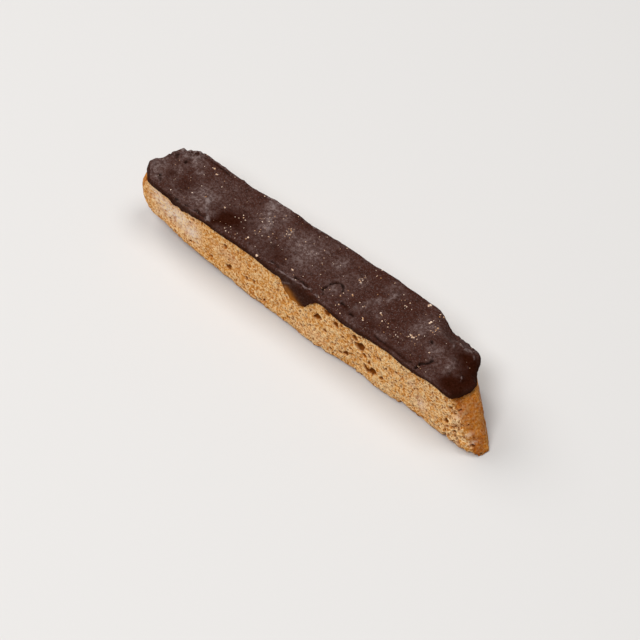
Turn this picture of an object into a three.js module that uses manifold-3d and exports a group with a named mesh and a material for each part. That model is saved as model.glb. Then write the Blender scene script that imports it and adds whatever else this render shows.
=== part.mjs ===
// A biscotto cut on the bias from a twice-baked log. It lies with the log's flat base up, and that base is
// coated in dark chocolate that laps over the edges. The two long upright faces are the saw cuts, and the
// ends and the underside are the log's browned crust.
// Millimetres, +Z up. X runs along the slice and Y from the near cut face to the far one. While the pieces
// are shaped, the near cut face is the plane y = 0 and the floor is z = 0. The finished group is moved so
// that its origin is the centre of the whole at floor level.
import * as THREE from "three";
import { mergeVertices } from "three/addons/utils/BufferGeometryUtils.js";
import { ImprovedNoise } from "three/addons/math/ImprovedNoise.js";
import Module from "manifold-3d";

const { clamp, degToRad, lerp, seededRandom, smoothstep } = THREE.MathUtils;
const wasm = await Module();
wasm.setup();

// The slice
const SLICE_LENGTH = 150; // nominal, between the two end walls
const SLICE_HEIGHT = 22.9; // floor to the log's flat base
const THICKNESS_LEFT = 19.4; // the slice is sawn a little thinner at its left end
const THICKNESS_RIGHT = 22.6;
const BELLY = { share: 0.58, out: 0.75, spread: 0.25 }; // the far cut bows outward past the middle
const BIAS = Math.tan(degToRad(50)); // the log's side walls lean this far from square to the saw cuts
const CUT_EDGE_RADIUS = 1.1; // sawn edges are crisp

// The log's side walls, as distances across the log measured along the near cut face
const RIGHT_FOOT = 84.6; // at the floor
const RIGHT_LEAN = 0.18; // the wall leans outward towards the floor
const RIGHT_SHOULDER = { depth: 3, sharpness: 4 }; // and rounds over into the base at the top
const RIGHT_HOLLOW = { z: 9, depth: 1.1, spread: 5 };
const RIGHT_DROP = { depth: 2.4, reach: 11, curl: 1.3 }; // the base itself sinks towards the right wall
const LEFT_BULGE = { x: -73.4, z: 15.5 }; // outermost line of the left wall
const LEFT_ROUNDING = 0.05; // how fast the left wall turns in above and below that line

// Broken corners
const NOSE_FOOT = 75.7; // blunted near right corner, at the floor
const NOSE_LEAN = 0.5;
const NOSE_SPLAY = 0.36;
const STUMP = { x: -77.3, splay: 0.3 }; // broken far left corner
const STUMP_ROUND = { depth: 7, reach: 5 }; // and how far it turns in towards the far cut
const CORNER_BLEND = 2;

// The domed underside
const LIFT = { start: -24, run: 47, height: 6.2, curl: 1.5 }; // left of the start it leaves the floor
const SWELLINGS = [ // where the foot of the near face stands out
  { x: -47, out: 0.8, spread: 12 },
  { x: -22, out: 0.5, spread: 10 },
  { x: 0, out: 1.3, spread: 16 },
  { x: 34, out: 0.9, spread: 6 },
  { x: 64, out: 0.9, spread: 12 },
];
const RESTING_BAND = 2.5; // relief fades out below this height, which keeps the resting face flat

// Dents in the top edge, at the far right and at the left end
const DENTS = [
  { centre: new THREE.Vector3(49.5, 23.5, 24), reach: 6.5, push: new THREE.Vector3(-0.2, -3.6, -0.9) },
  { centre: new THREE.Vector3(-74, 12, 24), reach: 5, push: new THREE.Vector3(2.2, -2.6, 0) },
  { centre: new THREE.Vector3(-75, 2, 24), reach: 5, push: new THREE.Vector3(1.8, 0, 0) },
];

// The chocolate
const COAT_GAP = 0.3; // clearance to the biscuit
const COAT_TOP = 1.7; // thickness over the base
const COAT_SIDE = 1.15; // how far it stands proud of the cut faces
const COAT_LEFT = 1; // and of the two ends, measured along the slice
const COAT_RIGHT = 1.7;
const COAT_EDGE_RADIUS = 1.6;
const LAP_DEPTH = 1.4; // how far it laps down the cut faces, before the sags and the drip
const FAR_CORNER_LAP = { depth: 2.5, from: 0.55, to: 0.9, share: 0.94 }; // deeper at the far right corner
const NODULES = [ // where the chocolate gathered in thick drops, at the far right corner and over the nose
  { centre: new THREE.Vector3(58.5, 18.5, 22), reach: 4.5, push: new THREE.Vector3(2.2, 2.9, 0.9) },
  { centre: new THREE.Vector3(69.5, 9.5, 21), reach: 3.6, push: new THREE.Vector3(-0.8, 0.2, 2.6) },
];
const RIM = { height: 1.5, width: 2.2, inset: 1.5 }; // the lumpy rim round the left end
const RIM_LUMPS = { length: 3.3, base: 0.75, swing: 0.9, slice: 4.2 };
const DRIP = { depth: 6.5, left: -7, full: -2.8, fade: 3.4, right: 11.2 }; // it hangs full from full to fade
const NEAR_SAGS = [
  { x: -57, depth: 1.9, spread: 8 },
  { x: -12, depth: 0.7, spread: 6 },
  { x: 13.5, depth: -1.1, spread: 3 },
  { x: 27, depth: 0.5, spread: 8 },
  { x: 46, depth: -0.9, spread: 9 },
  { x: 68, depth: -0.9, spread: 8 },
];
const FAR_SAGS = [
  { x: -48, depth: 1.6, spread: 10 },
  { x: -8, depth: 2.4, spread: 7 },
  { x: 22, depth: 1.2, spread: 9 },
];

// Relief
const WAVE = { length: 19, height: 0.45 };
const CRUMB = { length: 3.6, height: 0.2 };
const COAT_RIPPLE = { length: 7, height: 0.3 };
const NOISE_OFFSETS = [ // far apart, so that the three directions differ
  new THREE.Vector3(3.1, 7.7, 1.3),
  new THREE.Vector3(19.4, 2.2, 8.6),
  new THREE.Vector3(5.9, 31.8, 12.5),
];

// Holes in the crumb: the largest ones of the near face as place and half size, the rest drawn by rule
const NEAR_HOLES = [
  { x: 7.5, z: 15.4, wide: 1.7, high: 1.0, turn: 8 },
  { x: 11.2, z: 19.6, wide: 0.9, high: 1.5, turn: 20 },
  { x: 14.6, z: 17.3, wide: 1.5, high: 0.8, turn: 14 },
  { x: 23.1, z: 17.2, wide: 1.0, high: 1.3, turn: 25 },
  { x: 25.7, z: 14.6, wide: 1.4, high: 2.2, turn: 28 },
  { x: 19.6, z: 6.6, wide: 1.3, high: 0.8, turn: 0 },
  { x: 31.2, z: 7.2, wide: 1.3, high: 2.0, turn: 30 },
  { x: 35.8, z: 8.6, wide: 0.8, high: 1.6, turn: 10 },
  { x: -33.6, z: 7.3, wide: 1.7, high: 1.0, turn: 12 },
  { x: 63.2, z: 9.4, wide: 0.8, high: 1.3, turn: 5 },
];
const HOLE_RULE = { // on each cut face, as counts, ranges in millimetres and turns in degrees
  count: 8,
  reach: 58,
  z: [8, 18],
  wide: [0.7, 1.4],
  high: [0.7, 1.1],
  turn: [-20, 40],
};
const HOLE_DEPTH = 1.3; // of a hole's smaller half size
const HOLE_SEED = 41;

const BISCUIT_GRID = [52, 8, 8];
const COAT_GRID = [66, 10, 4];

const noise = new ImprovedNoise();

function softMin(a, b, reach) {
  const share = clamp(0.5 + (b - a) / (2 * reach), 0, 1);
  return lerp(b, a, share) - reach * share * (1 - share);
}

function softMax(a, b, reach) {
  return -softMin(-a, -b, reach);
}

function bell(distance, spread) {
  return Math.exp(-((distance / spread) ** 2));
}

function pushAside(p, spots) {
  spots.forEach((spot) => p.addScaledVector(spot.push, bell(p.distanceTo(spot.centre), spot.reach)));
}

// Noise as a vector, so that vertices shared by two faces move alike.
function noiseVector(p, length) {
  const directions = NOISE_OFFSETS.map((offset) => {
    const at = p.clone().divideScalar(length).add(offset);
    return noise.noise(at.x, at.y, at.z);
  });
  return new THREE.Vector3(...directions);
}

// Relief at a point, which fades out towards the floor.
function restingRelief(p, { length, height }) {
  const relief = noiseVector(p, length).multiplyScalar(height);
  relief.z *= smoothstep(p.z, 0, RESTING_BAND);
  return relief;
}

function rightEnd(y, z) {
  const shoulder = RIGHT_SHOULDER.depth * Math.max(z / SLICE_HEIGHT, 0) ** RIGHT_SHOULDER.sharpness;
  const hollow = RIGHT_HOLLOW.depth * bell(z - RIGHT_HOLLOW.z, RIGHT_HOLLOW.spread);
  const wall = RIGHT_FOOT - RIGHT_LEAN * z - shoulder - hollow - y * BIAS;
  const nose = NOSE_FOOT - NOSE_LEAN * z + NOSE_SPLAY * y;
  return softMin(wall, nose, CORNER_BLEND);
}

function leftEnd(y, z) {
  const wall = LEFT_BULGE.x + LEFT_ROUNDING * (z - LEFT_BULGE.z) ** 2 - y * BIAS;
  const turnIn = smoothstep(y, THICKNESS_LEFT + 0.5 - STUMP_ROUND.reach, THICKNESS_LEFT + 0.5);
  const stump = STUMP.x + STUMP.splay * y + STUMP_ROUND.depth * turnIn;
  return softMax(wall, stump, CORNER_BLEND);
}

// How high the underside stands off the floor. The log's crust is ruled along the log, so the lift follows
// the bias.
function lift(x, y) {
  return LIFT.height * clamp((LIFT.start - x - y * BIAS) / LIFT.run, 0, 1.1) ** LIFT.curl;
}

function thickness(share) {
  return lerp(THICKNESS_LEFT, THICKNESS_RIGHT, share) + BELLY.out * bell(share - BELLY.share, BELLY.spread);
}

function swelling(p, across) {
  const out = SWELLINGS.reduce((sum, s) => sum + s.out * bell(p.x - s.x, s.spread), 0);
  return out * clamp(1 - p.z / SLICE_HEIGHT, 0, 1) * (1 - across);
}

function rightDrop(p) {
  const inward = rightEnd(p.y, p.z) - p.x;
  const upper = clamp(p.z / SLICE_HEIGHT, 0, 1) ** 3;
  return RIGHT_DROP.depth * upper * clamp(1 - inward / RIGHT_DROP.reach, 0, 1.2) ** RIGHT_DROP.curl;
}

// A point at height z. Share runs from 0 at the left end to 1 at the right one, across from 0 at the near cut
// face to 1 at the far one, and both may go a little past either end for a point outside the slice.
function slicePoint(share, across, z) {
  const y = across * thickness(share);
  const p = new THREE.Vector3(lerp(leftEnd(y, z), rightEnd(y, z), share), y, z);
  p.y -= swelling(p, across);
  p.z -= rightDrop(p) * smoothstep(across, 0, 0.6);
  pushAside(p, DENTS);
  return p.add(restingRelief(p, WAVE));
}

function mapVertices(geometry, place) {
  const positions = geometry.getAttribute("position");
  const p = new THREE.Vector3();
  for (let i = 0; i < positions.count; i += 1) {
    p.fromBufferAttribute(positions, i);
    const q = place(p.clone());
    positions.setXYZ(i, q.x, q.y, q.z);
  }
  geometry.computeVertexNormals();
}

// A closed block with rounded edges, with every vertex merged, ready to be pushed into shape.
function roundedBlock(size, grid, radius) {
  const box = new THREE.BoxGeometry(...size.toArray(), ...grid);
  box.deleteAttribute("normal");
  box.deleteAttribute("uv");
  const block = mergeVertices(box);
  const core = size.clone().multiplyScalar(0.5).subScalar(radius);
  mapVertices(block, (p) => {
    const inner = p.clone().clamp(core.clone().negate(), core);
    return p.sub(inner).setLength(radius).add(inner);
  });
  return block;
}

function biscuitGeometry() {
  const size = new THREE.Vector3(SLICE_LENGTH, thickness(0.5), SLICE_HEIGHT);
  const block = roundedBlock(size, BISCUIT_GRID, CUT_EDGE_RADIUS);
  mapVertices(block, (p) => {
    const [share, across, up] = [p.x / size.x + 0.5, p.y / size.y + 0.5, p.z / size.z + 0.5];
    const foot = lift((share - 0.5) * SLICE_LENGTH, across * thickness(share));
    const q = slicePoint(share, across, lerp(foot, SLICE_HEIGHT, up));
    q.add(restingRelief(q, CRUMB));
    q.z = Math.max(q.z, 0);
    return q;
  });
  return block;
}

// The same shape grown along its normals, which keeps the coat clear of the biscuit.
function grown(geometry, distance) {
  const copy = geometry.clone();
  const positions = copy.getAttribute("position");
  const normals = copy.getAttribute("normal");
  for (let i = 0; i < positions.count; i += 1) {
    positions.setXYZ(
      i,
      positions.getX(i) + normals.getX(i) * distance,
      positions.getY(i) + normals.getY(i) * distance,
      positions.getZ(i) + normals.getZ(i) * distance,
    );
  }
  return copy;
}

function sagDepth(sags, x) {
  return sags.reduce((sum, sag) => sum + sag.depth * bell(x - sag.x, sag.spread), 0);
}

// The drip is steep on its left side and sloping on its right.
function dripDepth(x) {
  return DRIP.depth * smoothstep(x, DRIP.left, DRIP.full) * (1 - smoothstep(x, DRIP.fade, DRIP.right));
}

// Height of the coat's lower lip. Across is 0 on the near side and 1 on the far side.
function lapHeight(share, across) {
  const x = (share - 0.5) * SLICE_LENGTH;
  const near = LAP_DEPTH + sagDepth(NEAR_SAGS, x) + dripDepth(x);
  const far = LAP_DEPTH + sagDepth(FAR_SAGS, x);
  const side = lerp(near, far, clamp(across, 0, 1));
  const corner = smoothstep(share, FAR_CORNER_LAP.share, 1);
  const farther = smoothstep(across, FAR_CORNER_LAP.from, FAR_CORNER_LAP.to);
  return SLICE_HEIGHT - side - FAR_CORNER_LAP.depth * corner * farther;
}

// The rim that the dipped end left standing: a ring of lumps round the left end of the top.
function rimHeight(p) {
  const inward = p.x - leftEnd(clamp(p.y, 0, THICKNESS_LEFT), SLICE_HEIGHT);
  const lump = noise.noise(p.x / RIM_LUMPS.length, p.y / RIM_LUMPS.length, RIM_LUMPS.slice);
  return RIM.height * bell(inward - RIM.inset, RIM.width) * (RIM_LUMPS.base + RIM_LUMPS.swing * lump);
}

function coatBlobGeometry() {
  const size = new THREE.Vector3(
    SLICE_LENGTH + COAT_LEFT + COAT_RIGHT,
    thickness(0.5) + 2 * COAT_SIDE,
    LAP_DEPTH + COAT_TOP + 2,
  );
  const block = roundedBlock(size, COAT_GRID, COAT_EDGE_RADIUS);
  mapVertices(block, (p) => {
    const share = (p.x + (COAT_RIGHT - COAT_LEFT) / 2) / SLICE_LENGTH + 0.5;
    const across = p.y / thickness(0.5) + 0.5;
    const level = p.z / size.z + 0.5;
    const q = slicePoint(share, across, lerp(lapHeight(share, across), SLICE_HEIGHT + COAT_TOP, level));
    q.add(noiseVector(q, COAT_RIPPLE.length).multiplyScalar(COAT_RIPPLE.height));
    q.z += rimHeight(q) * smoothstep(level, 0.5, 1);
    pushAside(q, NODULES);
    return q;
  });
  return block;
}

function solidOf(geometry) {
  const { position } = geometry.attributes;
  return new wasm.Manifold(
    new wasm.Mesh({
      numProp: 3,
      vertProperties: new Float32Array(position.array),
      triVerts: new Uint32Array(geometry.index.array),
    }),
  );
}

function geometryOf(solid) {
  const mesh = solid.getMesh();
  const positions = new Float32Array(mesh.numVert * 3);
  for (let i = 0; i < mesh.numVert; i += 1) {
    positions.set(mesh.vertProperties.subarray(i * mesh.numProp, i * mesh.numProp + 3), i * 3);
  }
  const geometry = new THREE.BufferGeometry();
  geometry.setAttribute("position", new THREE.BufferAttribute(positions, 3));
  geometry.setIndex(new THREE.BufferAttribute(new Uint32Array(mesh.triVerts), 1));
  geometry.computeVertexNormals();
  return geometry;
}

// Across is 0 for a hole in the near cut face and 1 for one in the far face.
function holeSolid(hole, across) {
  const ball = new THREE.IcosahedronGeometry(1, 1);
  ball.deleteAttribute("normal");
  ball.deleteAttribute("uv");
  const hollow = mergeVertices(ball);
  hollow.scale(hole.wide, Math.min(hole.wide, hole.high) * HOLE_DEPTH, hole.high);
  hollow.rotateY(degToRad(hole.turn));
  hollow.translate(hole.x, across * thickness(hole.x / SLICE_LENGTH + 0.5), hole.z);
  return solidOf(hollow);
}

function randomHoles(seed) {
  let draw = seed;
  const next = ([low, high]) => {
    draw += 1;
    return lerp(low, high, seededRandom(draw));
  };
  return Array.from({ length: HOLE_RULE.count }, (_, i) => ({
    x: lerp(-HOLE_RULE.reach, HOLE_RULE.reach, (i + next([0.1, 0.9])) / HOLE_RULE.count),
    z: next(HOLE_RULE.z),
    wide: next(HOLE_RULE.wide),
    high: next(HOLE_RULE.high),
    turn: next(HOLE_RULE.turn),
  }));
}

function makeBiscuit(body) {
  const near = [...NEAR_HOLES, ...randomHoles(HOLE_SEED)].map((hole) => holeSolid(hole, 0));
  const far = randomHoles(HOLE_SEED * 2).map((hole) => holeSolid(hole, 1));
  const solid = [...near, ...far].reduce((whole, hollow) => whole.subtract(hollow), solidOf(body));
  const material = new THREE.MeshStandardMaterial({ color: 0xc3925f, roughness: 0.9, metalness: 0 });
  const mesh = new THREE.Mesh(geometryOf(solid), material);
  mesh.name = "biscuit";
  return mesh;
}

function makeCoat(body) {
  const solid = solidOf(coatBlobGeometry()).subtract(solidOf(grown(body, COAT_GAP)));
  const material = new THREE.MeshStandardMaterial({ color: 0x4a312c, roughness: 0.42, metalness: 0 });
  const mesh = new THREE.Mesh(geometryOf(solid), material);
  mesh.name = "chocolate_coat";
  return mesh;
}

const body = biscuitGeometry();
const biscotto = new THREE.Group();
biscotto.add(makeBiscuit(body), makeCoat(body));

const bounds = new THREE.Box3().setFromObject(biscotto);
const centre = bounds.getCenter(new THREE.Vector3());
biscotto.children.forEach((mesh) => mesh.geometry.translate(-centre.x, -centre.y, -bounds.min.z));

export default biscotto;
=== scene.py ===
"""Looks of a chocolate-dipped biscotto: sawn crumb, browned crust, dark chocolate coat and stray crumbs.

The file is laid out as a Blender add-on. Lengths are metres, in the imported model's frame: +X along the
slice towards its slanted end, -Y out of the near cut face and +Z up. Places on the biscuit and on the
chocolate are written in millimetres, as a baker would measure them, and scaled by MM.
"""

import math
import random

import bmesh
import bpy
from bpy.props import FloatProperty, FloatVectorProperty, IntProperty, PointerProperty
from mathutils import Matrix, Vector, noise
from mathutils.bvhtree import BVHTree


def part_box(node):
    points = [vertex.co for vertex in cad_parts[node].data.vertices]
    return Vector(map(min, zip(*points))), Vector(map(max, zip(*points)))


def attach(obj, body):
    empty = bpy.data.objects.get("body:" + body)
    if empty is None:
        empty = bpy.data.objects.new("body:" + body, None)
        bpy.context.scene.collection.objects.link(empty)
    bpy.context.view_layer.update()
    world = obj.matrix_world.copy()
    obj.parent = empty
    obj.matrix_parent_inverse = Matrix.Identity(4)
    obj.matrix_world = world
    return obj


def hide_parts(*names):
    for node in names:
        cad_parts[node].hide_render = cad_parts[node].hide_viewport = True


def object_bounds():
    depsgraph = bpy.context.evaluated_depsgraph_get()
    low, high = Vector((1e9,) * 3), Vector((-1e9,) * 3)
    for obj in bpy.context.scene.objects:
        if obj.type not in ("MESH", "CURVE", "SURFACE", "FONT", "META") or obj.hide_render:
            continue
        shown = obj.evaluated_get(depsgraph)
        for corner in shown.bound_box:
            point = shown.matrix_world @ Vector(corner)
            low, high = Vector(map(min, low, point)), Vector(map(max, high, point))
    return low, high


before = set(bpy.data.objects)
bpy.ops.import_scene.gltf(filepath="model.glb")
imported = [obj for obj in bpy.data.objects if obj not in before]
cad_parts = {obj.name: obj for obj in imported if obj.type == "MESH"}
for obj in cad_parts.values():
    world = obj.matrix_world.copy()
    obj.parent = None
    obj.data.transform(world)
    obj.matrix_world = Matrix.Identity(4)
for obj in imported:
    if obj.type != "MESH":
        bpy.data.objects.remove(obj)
CAD_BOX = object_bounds()

bl_info = {
    "name": "Chocolate-dipped biscotto",
    "version": (1, 0, 0),
    "blender": (4, 5, 0),
    "location": "View3D > Sidebar > Biscotto",
    "description": "Makes the looks of a chocolate-dipped biscotto",
    "category": "Object",
}

MM = 0.001

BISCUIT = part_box("biscuit")
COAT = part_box("chocolate_coat")
LENGTH = BISCUIT[1].x - BISCUIT[0].x
HEIGHT = BISCUIT[1].z
ROOM = 0.05 * MM  # the pieces stay this far inside the solid model's box
NOISE_SEED = 1
noise.seed_set(NOISE_SEED)  # noise_vector would otherwise be offset by the clock

# The biscuit ----------------------------------

# Large pores of the near cut face: place along and up it, half length and half width in mm, and lean
# in degrees
PORES = (
    (24.3, 13.9, 2, 1.25, -30), (28, 6.4, 1.8, 1.15, -38), (6.4, 14.6, 2, 0.85, 25),
    (22.5, 16.6, 1.3, 0.85, -45), (9.8, 19.2, 1.3, 0.8, -55), (14.2, 16.6, 1.3, 0.8, 0),
    (30.4, 6.4, 1.3, 0.55, -84), (18.5, 5.9, 1, 0.7, 20), (28.9, 13.3, 1.2, 0.6, -56),
    (34.8, 7.5, 0.95, 0.6, 52), (25.3, 8.1, 0.8, 0.7, 60), (-33.3, 8.4, 0.8, 0.7, 60),
    (-19.3, 3.2, 0.95, 0.55, 30), (-17.5, 4.1, 1.2, 0.4, 70), (-72.4, 20.9, 0.9, 0.45, 70),
    (66.5, 7.4, 0.8, 0.6, 40), (63.3, 9.8, 0.95, 0.45, 60), (62.4, 3, 1, 0.6, 20),
    (20.9, 10.5, 0.75, 0.55, 30), (40.7, 10.6, 0.75, 0.5, 10), (-41.5, 7.2, 0.75, 0.5, 40),
    (-22.1, 9.8, 0.65, 0.5, 40), (29, 9.9, 0.7, 0.45, 75), (50.2, 18.9, 0.75, 0.45, 35),
    (43, 19, 0.65, 0.5, 40), (36.4, 13.1, 0.9, 0.4, 62), (41.3, 5.5, 0.7, 0.45, 20),
    (16.9, 2.4, 0.8, 0.45, 50), (12.3, 4, 0.7, 0.45, 10), (-50.9, 7.6, 0.8, 0.5, 30),
)
# Where flour still dusts the near face: place along and up it, half length and half height in mm,
# and strength
FLOURY = (
    (-67, 18.5, 3.2, 3.6, 0.85), (-63.5, 15.5, 3.4, 3.4, 0.5), (-59.5, 14.5, 5.5, 4.5, 0.8),
    (-53, 15, 4.5, 5, 0.9), (-49, 11.5, 2.6, 3.6, 0.7), (-66.5, 9.6, 2.2, 1.2, 0.5),
    (-34, 13, 6, 3, 0.25), (5.5, 5.5, 6, 3, 0.25), (47.6, 14.9, 1.5, 1.6, 0.9),
    (51.4, 8.2, 2.6, 2.8, 0.8), (66.6, 12.2, 1.3, 3.4, 0.7), (71, 8.4, 0.8, 0.7, 0.5),
    (72.6, 5.2, 0.9, 0.8, 0.6), (66, 2.8, 2.4, 1.6, 0.5),
)
# Where the near face toasted deeper: as for the flour. The thin streak at (-61, 18.4) is painted shade
# under the coat's overhanging edge.
TOASTED_AND_SHADED = (
    (-71.6, 15, 1.3, 6, 0.8), (-58.5, 7, 7.5, 1, 0.8), (-61, 18.4, 3.2, 0.45, 0.9),
    (-56.4, 16.4, 1.5, 0.9, 0.5), (-62.5, 12.8, 1.6, 1.1, 0.4), (-46.3, 7.8, 1.4, 1.5, 0.7),
    (-41.5, 6.6, 1.8, 1.4, 0.5), (-30.5, 5.4, 2, 1.2, 0.5), (-19, 2.6, 2.2, 1.4, 0.6),
    (57.5, 14, 4.5, 5, 0.4), (60, 4, 4, 3.5, 0.45), (68.5, 12.5, 0.6, 4, 0.9),
)
RANDOM_LEAN = (-30, 35)  # lean of the other pores in degrees, as mean and spread

# Where the foot of the cut faces broke away: place along it, half width and height, in mm
FOOT_NOTCHES = ((21.6, 0.9, 1.6), (43.4, 1.1, 2.4), (53, 0.8, 1.4), (62.5, 0.7, 2.8))
FOOT_BAND = (0.3 * MM, 1.5 * MM)  # over this height the foot's chips fade out and its relief fades in
CHIP_REACH = 3 * MM  # the foot is drawn in up to this height, and this far inside the cut face

# The underside leaves the floor left of a place, at first slowly
LIFT_START = -24 * MM
LIFT_RUN = 47 * MM
LIFT_HEIGHT = 6.2 * MM

CRAGGY_TIP = (58 * MM, 66 * MM)  # the cut faces turn craggy along this stretch of the slanted end
CRAG_FOOT = (0.2 * MM, 2.0 * MM)  # and crags fade out towards the floor
INWARD = 0.12  # the relief is sunk into the smooth slice by this share of its height
FAR_FLOUR = 0.05  # thin even flour on the far cut face
PORE_DEPTH = (0.06 * MM, 0.8 * MM)  # from where painted shade in a pore begins to where it is darkest

# Fine pits that the saw tore open, painted as spots of shade with only a slight dip in the bump: cell size
# in mm, share of the cells where the crumb is most open, and radius as a share of the cell
FINE_PITS = ((1.5, 0.65, 0.34), (0.9, 0.2, 0.36))
PIT_FADE = (1.1, 0.5)  # a pit's painted shade darkens between these shares of its radius
LIP_HIGHLIGHT_FADE = (1.7, 1.2)  # and the painted highlight on the rim round it fades in between these

# The chocolate --------------------------------
# Places on the coat's top are (along, across) in mm.

# Folds that stand up: the line each follows, its half width and its height
RIDGES = (
    (((-74.7, -3.8), (-72.6, -6.2), (-69.6, -8.4), (-65.7, -10.5)), 0.9, 0.32),
    (((-70, 4.6), (-67, 6.6), (-64.4, 7.4)), 0.7, 0.5),
    (((-64, 5), (-63.4, 8), (-61, 9.2), (-55, 9.3), (-46, 9)), 0.6, 0.3),
    (((-41, 9.2), (-30, 9.8), (-12, 10)), 0.6, 0.3),
    (((-50.3, -3.2), (-46.4, -7.6), (-43, -11.4)), 1, 0.5),
    (((-33.3, 8.8), (-31, 7.2), (-29.3, 3.5), (-27.7, 2.5), (-25.7, 0.2), (-25.3, -1.2)), 1, 0.35),
    (((-16, -10.9), (-9, -11.3), (-3.5, -10.9), (2.3, -10.5), (7.5, -11.2)), 0.4, 0.5),
    (((2.2, 6.8), (2.6, 4), (3, 1.8)), 1.2, 0.2),
    (((17.3, -6.5), (18.9, -4.2), (20.3, -1.8), (22.8, 1.2), (25, 6.8)), 1.3, 0.2),
    (((51, 4.3), (53, 2)), 0.4, 0.35),
    (((52.5, 6.3), (58, 6.4), (60.3, 4.8)), 0.6, 0.4),
    (((49.7, -4.8), (50.6, -6.2)), 0.4, 0.5),
    (((55, 5.6), (56.4, 5.2)), 0.35, 0.5),
    (((59.5, 1.5), (60.6, 0.9)), 0.35, 0.4),
    (((61.9, -4), (62.6, -4.6)), 0.3, 0.4),
    (((62.9, -5.6), (63.4, -6)), 0.3, 0.4),
)
# Creases that sink in: the line each follows, its half width and its depth
CREASES = (
    (((-68.2, -7.6), (-66.8, -9), (-65.4, -10.6)), 0.7, 0.35),
    (((-66.7, 6), (-66.2, 3.7), (-65.9, 1.8)), 0.7, 0.35),
    (((-69.4, 6.4), (-69, 4.6)), 0.5, 0.4),
    (((-62.6, 8), (-58, 8.4), (-50, 8)), 0.4, 0.4),
    (((-62, -11.6), (-55, -11.4), (-45.3, -10.4)), 0.5, 0.4),
    (((-17, -10), (-10, -10.4)), 0.4, 0.35),
    (((-4.6, -9.9), (-1.5, -9.7), (1.2, -9.8)), 0.45, 0.6),
    (((10, -2.6), (8.2, -2.1), (6.7, -2.6), (5.5, -3.9), (5, -5.7), (5.4, -7.8), (6.8, -9.4)), 0.45, 0.75),
    (((10.2, -2.8), (10.8, -4.8)), 0.4, 0.6),
    (((13.5, -7.6), (16, -7.4)), 0.5, 0.45),
    (((18.6, -8.7), (20, -9)), 0.5, 0.45),
    (((31, -10.4), (38, -10.9), (46.5, -10.5)), 0.45, 0.25),
    (((44, 2.3), (44.5, 0.8), (46.1, 0), (47.6, -0.7)), 0.35, 0.5),
    (((51.4, -4.8), (50, -7.4), (48.8, -9), (49, -10.9)), 0.55, 0.8),
)
# Mounds and hollows: centre, half sizes and height, all in mm
MOUNDS = (
    (-58.5, -5.5, 5, 5, -0.5), (-46.5, -12, 5.5, 3.4, -1), (-43.7, -8.3, 1.2, 1.4, 0.4),
    (-41.1, -10.7, 1.4, 1.2, 0.45), (-38, -5, 7, 5, -0.4), (-31.5, -7, 2.4, 2.8, -0.3),
    (-10.6, 1, 6, 6, 0.3), (-19, 2.8, 0.7, 0.7, -0.6), (8, -4.9, 2.2, 2.4, 0.25),
    (34.5, -7.1, 0.6, 0.6, -0.7), (34.7, -3.1, 0.45, 0.45, -0.5), (37.2, -3, 0.45, 0.45, -0.5),
    (33.4, -4.6, 0.45, 0.45, -0.5), (37.2, -6.1, 0.5, 0.5, -0.4), (40.7, -2.3, 1.6, 1.6, 0.3),
    (42.2, 5.4, 0.9, 0.9, 0.35), (44.7, 3.4, 1, 1, 0.35), (51, 6.8, 1.3, 1, 0.45),
    (56.8, -4.2, 1.3, 2.4, 0.75), (55.3, -0.9, 1.4, 1.2, 0.5), (55.5, 5.3, 1.2, 0.6, 0.35),
    (61.1, -4.6, 1.6, 1.4, 0.5), (63, -4, 0.6, 0.6, 0.35), (63, -5.7, 0.6, 0.6, 0.35),
    (65.9, -8.8, 0.8, 0.6, 0.35),
)
# Painted highlight streaks on the wrinkles down the drip's upper left, which the surface does not raise,
# (along, up) in mm: their line and half width
DRIP_HIGHLIGHT_STREAKS = (
    (((-9.6, 20.2), (-7.7, 21.5), (-5.5, 22.6)), 0.6),
    (((-8.2, 18.8), (-6.6, 20.2)), 0.45),
)
# Where the far left rim set in crags
CRAGGY_RIM = ((-72, 1), (-70, 4), (-67, 6), (-64.9, 7.8))
RIM_WIDTH = 2.2
# Where the chocolate bloomed, with painted sheen and highlights among it, and where it is painted dark as
# glossy and
# shaded: centre, half sizes and strength
BLOOM_AND_SHEEN_SPOTS = (
    (-71, -6.6, 2.8, 4.4, 0.6), (-72.5, -1.5, 1.6, 2.4, 0.7), (-66.5, 5.5, 3.5, 2, 0.6),
    (-47.5, -6.5, 1.4, 2.6, 0.8), (-67.5, -9.6, 2, 1.2, 0.6), (-67, 6.5, 1.4, 1.2, 0.8),
    (-63.3, 4.3, 0.9, 2.2, 0.8), (-59.3, 1.8, 1, 0.9, 0.7), (-64.3, -1.7, 1.4, 1.2, 0.45),
    (-57, 9.2, 7, 0.5, 0.6), (-52.4, -4.4, 4.6, 5, 0.55), (-43.7, -8.4, 1.2, 1.4, 0.8),
    (-46, 4, 7, 3.5, 0.2), (-31, 7.4, 2.2, 2.2, 1), (-28.8, 3.2, 1.8, 2.6, 1),
    (-26.1, 0, 1.5, 2.2, 1), (-28.5, 1, 5, 8, 0.35), (-24, 5.8, 1.4, 2.6, 0.5),
    (-19.3, 2.6, 1.8, 2, 0.6), (-10.6, 1.2, 7, 5.4, 0.7), (2.4, 4.4, 2.2, 3.4, 0.7),
    (8.2, -4.8, 2.4, 2.6, 0.4), (12.4, 3.2, 2.6, 2.6, 0.4), (18.3, -5.9, 0.9, 1, 1),
    (20.2, -2.2, 0.9, 2.2, 0.8), (22, 1.1, 1.1, 1.2, 1), (24.3, 5, 1, 2.6, 0.8),
    (32, -9.2, 2.2, 0.9, 0.7), (39.5, 1.2, 2.6, 2.2, 0.7), (42.5, 5, 3.6, 2.2, 0.5),
    (48.5, -1.5, 3, 2, 0.4), (57, -4, 1.3, 2.2, 1), (55.3, -0.9, 1.2, 1.1, 0.8),
    (61.1, -4.6, 1.3, 1.1, 0.4),
)
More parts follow.
